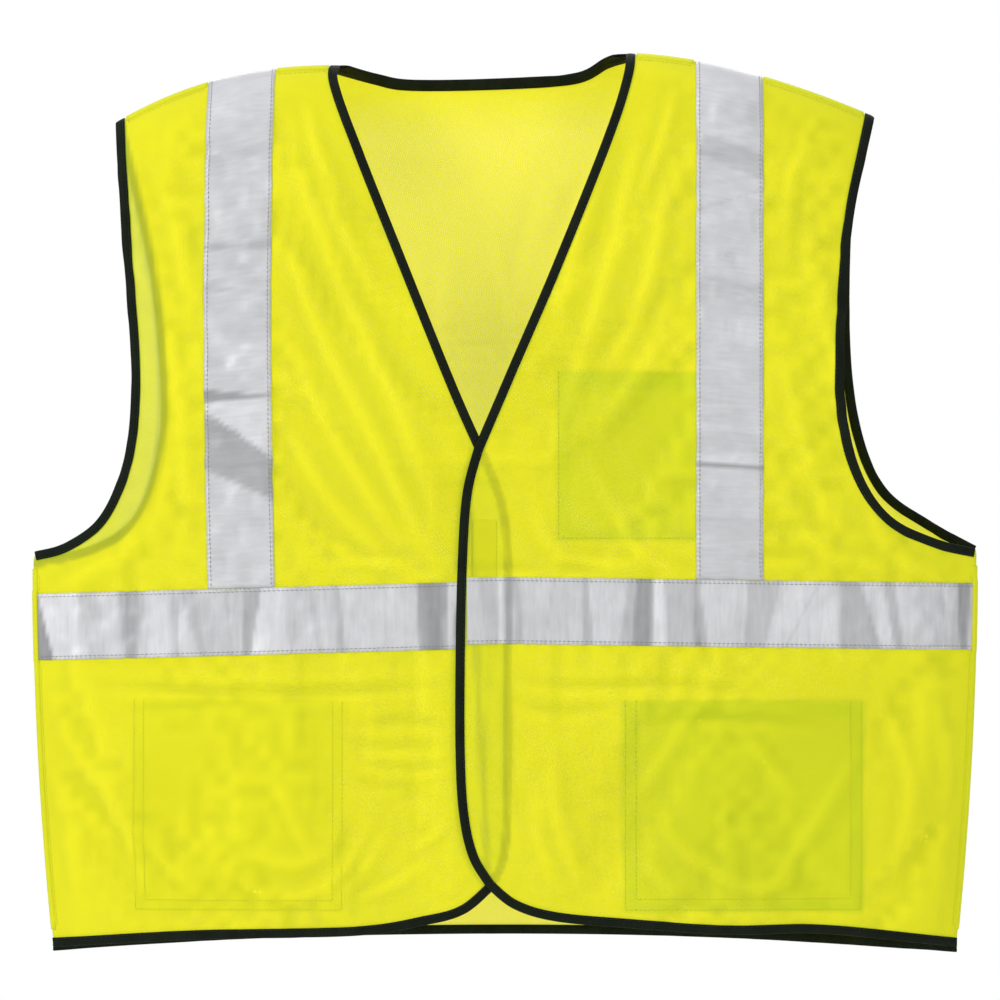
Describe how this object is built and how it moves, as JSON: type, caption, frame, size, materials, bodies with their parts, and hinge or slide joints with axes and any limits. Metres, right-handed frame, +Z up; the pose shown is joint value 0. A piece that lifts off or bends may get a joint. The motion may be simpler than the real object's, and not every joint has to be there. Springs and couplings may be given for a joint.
{
  "type": "high visibility vest",
  "caption": "Sleeveless mesh safety vest with a V neck, bound edges, reflective tape over the shoulders and round the waist, inside pockets and a hook and loop front.",
  "frame": {"origin": "level with the side points of the neck, on the wearer's centre line, in the plane of the side seams: where the shoulders of a wearer or a hanger carry the vest", "axes": "+Z up, -Y out of the vest's front, +X towards the wearer's left"},
  "size_m": [0.7088, 0.0989, 0.6746],
  "materials": {
    "mesh": "fluorescent lime yellow polyester mesh, slightly see-through",
    "reflective_tape": "silver glass-bead retroreflective tape, softly crinkled",
    "binding": "black woven polyester binding",
    "hook_and_loop": "lime hook and loop pile"
  },
  "bodies": {
    "vest_body": {"back_panel": "mesh", "left_front_side": "mesh", "right_front_side": "mesh", "left_shoulder_tape": "reflective_tape", "right_shoulder_tape": "reflective_tape", "back_waist_tape": "reflective_tape", "left_waist_tape": "reflective_tape", "right_waist_tape": "reflective_tape", "back_neck_binding": "binding", "left_neck_binding": "binding", "right_neck_binding": "binding", "back_hem_binding": "binding", "left_hem_binding": "binding", "right_hem_binding": "binding", "left_armhole_binding": "binding", "right_armhole_binding": "binding", "chest_pocket": "mesh", "left_lower_pocket": "mesh", "right_lower_pocket": "mesh"},
    "left_flap": {"left_front_flap": "mesh", "left_flap_tape": "reflective_tape", "left_front_binding": "binding", "chest_pocket_flap": "mesh", "hook_strip": "hook_and_loop"},
    "right_flap": {"right_front_flap": "mesh", "right_flap_tape": "reflective_tape", "right_front_binding": "binding", "loop_strip": "hook_and_loop"}
  },
  "joints": [
    {"name": "left_front_open", "type": "hinge", "parent": "vest_body", "child": "left_flap", "pos_m": [0.079, -0.0517, -0.35], "axis": [0, 0, 1], "range_deg": [0, 150]},
    {"name": "right_front_open", "type": "hinge", "parent": "vest_body", "child": "right_flap", "pos_m": [-0.112, -0.0512, -0.35], "axis": [0, 0, 1], "range_deg": [-98, 0]}
  ],
  "couplings": [
    {"joint": "right_front_open", "follows": "left_front_open", "ratio": -0.65}
  ]
}
